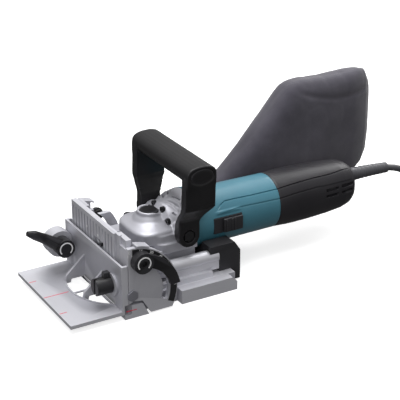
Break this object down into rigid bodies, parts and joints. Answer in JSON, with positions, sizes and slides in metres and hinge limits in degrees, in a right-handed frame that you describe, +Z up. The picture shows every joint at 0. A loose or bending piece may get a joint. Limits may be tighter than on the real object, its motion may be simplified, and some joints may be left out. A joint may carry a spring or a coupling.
{
  "type": "plate joiner",
  "caption": "Corded plate joiner: tilting fence with an angle guide, flat blade cover, motor unit that plunges on two rods, D-handle and cloth dust bag.",
  "frame": {"origin": "where the blade spindle's axis meets the plane of the sole", "axes": "+Z up, -X the cutting direction, so the fence is at -X and the cord leaves at +X, +Y towards the dust bag's side"},
  "size_m": [0.6624, 0.22, 0.1695],
  "materials": {
    "cast_aluminium": "satin die-cast",
    "dark_aluminium": "satin",
    "black_plastic": "fine moulded texture",
    "housing_plastic": "fine moulded texture",
    "teal_plastic": "semi-gloss",
    "steel": "ground",
    "black_steel": "black oxide",
    "copper": "varnished windings",
    "scale_black": "black with white graduations",
    "bag_fabric": "woven cloth",
    "cord_rubber": "matte"
  },
  "bodies": {
    "base": {"base_casting": "cast_aluminium", "rear_block": "black_plastic", "pivot_bolt_left": "steel", "pivot_bolt_right": "steel", "lock_stud_left": "steel", "lock_stud_right": "steel", "pointer_plate_left": "cast_aluminium", "pointer_plate_right": "cast_aluminium", "dust_port": "black_plastic", "dust_bag": "bag_fabric"},
    "cover": {"bottom_cover": "dark_aluminium"},
    "cover_lock": {"cover_screw": "black_steel"},
    "fence": {"fence_casting": "cast_aluminium", "scale_plate_left": "scale_black", "scale_plate_right": "scale_black", "setting_nut": "steel", "setting_screw": "black_steel"},
    "guide_carrier": {"rack_plate": "steel"},
    "guide": {"angle_guide": "cast_aluminium", "clamp_stud": "steel"},
    "clamp_lever": {"clamp_lever": "black_plastic"},
    "height_knob": {"pinion_shaft": "steel", "height_knob": "black_plastic"},
    "tilt_lever": {"tilt_lock_lever": "black_plastic"},
    "stop_plunger": {"stop_plunger": "black_plastic"},
    "turret": {"depth_turret": "black_plastic"},
    "motor_unit": {"gear_housing": "cast_aluminium", "guide_rod_left": "steel", "guide_rod_right": "steel", "motor_housing": "teal_plastic", "depth_stop_rod": "steel", "rear_housing": "housing_plastic", "field_stator": "dark_aluminium", "handle": "black_plastic", "handle_bolt_left": "black_steel", "handle_cap_left": "black_plastic", "handle_bolt_right": "black_steel", "handle_cap_right": "black_plastic", "switch_base": "black_plastic", "housing_screw_1": "black_steel", "housing_screw_2": "black_steel", "housing_screw_3": "black_steel", "housing_screw_4": "black_steel", "cord_guard": "cord_rubber", "cord_lead": "cord_rubber", "cord_coil": "cord_rubber", "cord_tail": "cord_rubber", "plug": "black_plastic"},
    "armature": {"armature_shaft": "steel", "armature_core": "copper", "commutator": "copper", "cooling_fan": "black_plastic", "bevel_pinion": "steel"},
    "power_switch": {"power_switch": "black_plastic"},
    "lock_button": {"lock_button": "black_plastic"},
    "spindle": {"spindle": "steel", "bevel_gear": "steel", "blade_flange": "steel", "lock_nut": "black_steel", "blade": "steel"}
  },
  "joints": [
    {"name": "plunge", "type": "slide", "parent": "base", "child": "motor_unit", "axis": [-1, 0, 0], "range_m": [0, 0.028], "stiffness_N_per_m": 700, "springref_m": -0.012},
    {"name": "blade_spin", "type": "hinge", "parent": "motor_unit", "child": "spindle", "pos_m": [0, 0, 0.01], "axis": [0, 0, 1], "continuous": true},
    {"name": "armature_spin", "type": "hinge", "parent": "motor_unit", "child": "armature", "pos_m": [0.1, 0, 0.0625], "axis": [1, 0, 0], "continuous": true},
    {"name": "switch_slide", "type": "slide", "parent": "motor_unit", "child": "power_switch", "axis": [-1, 0, 0], "range_m": [0, 0.007]},
    {"name": "lock_button_press", "type": "slide", "parent": "motor_unit", "child": "lock_button", "axis": [0, 0, -1], "range_m": [0, 0.002], "stiffness_N_per_m": 800, "springref_m": -0.002},
    {"name": "fence_tilt", "type": "hinge", "parent": "base", "child": "fence", "pos_m": [-0.047, 0, 0.027], "axis": [0, -1, 0], "range_deg": [0, 90]},
    {"name": "carrier_lift", "type": "slide", "parent": "fence", "child": "guide_carrier", "axis": [0, 0, 1], "range_m": [0, 0.0304]},
    {"name": "guide_height", "type": "slide", "parent": "guide_carrier", "child": "guide", "axis": [0, 0, 1], "range_m": [0, 0.022]},
    {"name": "height_knob_turn", "type": "hinge", "parent": "guide", "child": "height_knob", "pos_m": [-0.07, -0.046, 0.034], "axis": [-1, 0, 0], "range_deg": [0, 211]},
    {"name": "clamp_lever_turn", "type": "hinge", "parent": "guide", "child": "clamp_lever", "pos_m": [-0.073, 0.042, 0.042], "axis": [0, 1, 0], "range_deg": [0, 60]},
    {"name": "tilt_lever_turn", "type": "hinge", "parent": "base", "child": "tilt_lever", "pos_m": [-0.03732, -0.075, 0.06581], "axis": [0, -1, 0], "range_deg": [0, 60]},
    {"name": "stop_pull", "type": "slide", "parent": "base", "child": "stop_plunger", "axis": [0, 1, 0], "range_m": [0, 0.004], "stiffness_N_per_m": 600, "springref_m": -0.003},
    {"name": "depth_select", "type": "hinge", "parent": "base", "child": "turret", "pos_m": [0.07, 0.059, 0.044], "axis": [1, 0, 0], "range_deg": [0, 300]},
    {"name": "cover_open", "type": "hinge", "parent": "base", "child": "cover", "pos_m": [0.0515, 0, 0], "axis": [0, -1, 0], "range_deg": [0, 85]},
    {"name": "cover_screw_turn", "type": "hinge", "parent": "cover", "child": "cover_lock", "pos_m": [-0.039, 0, 0.0026], "axis": [0, 0, 1], "range_deg": [0, 90]}
  ],
  "couplings": [
    {"joint": "armature_spin", "follows": "blade_spin", "ratio": 2},
    {"joint": "carrier_lift", "follows": "fence_tilt", "m_per_rad": 0.019353},
    {"joint": "height_knob_turn", "follows": "guide_height", "rad_per_m": 166.67}
  ]
}
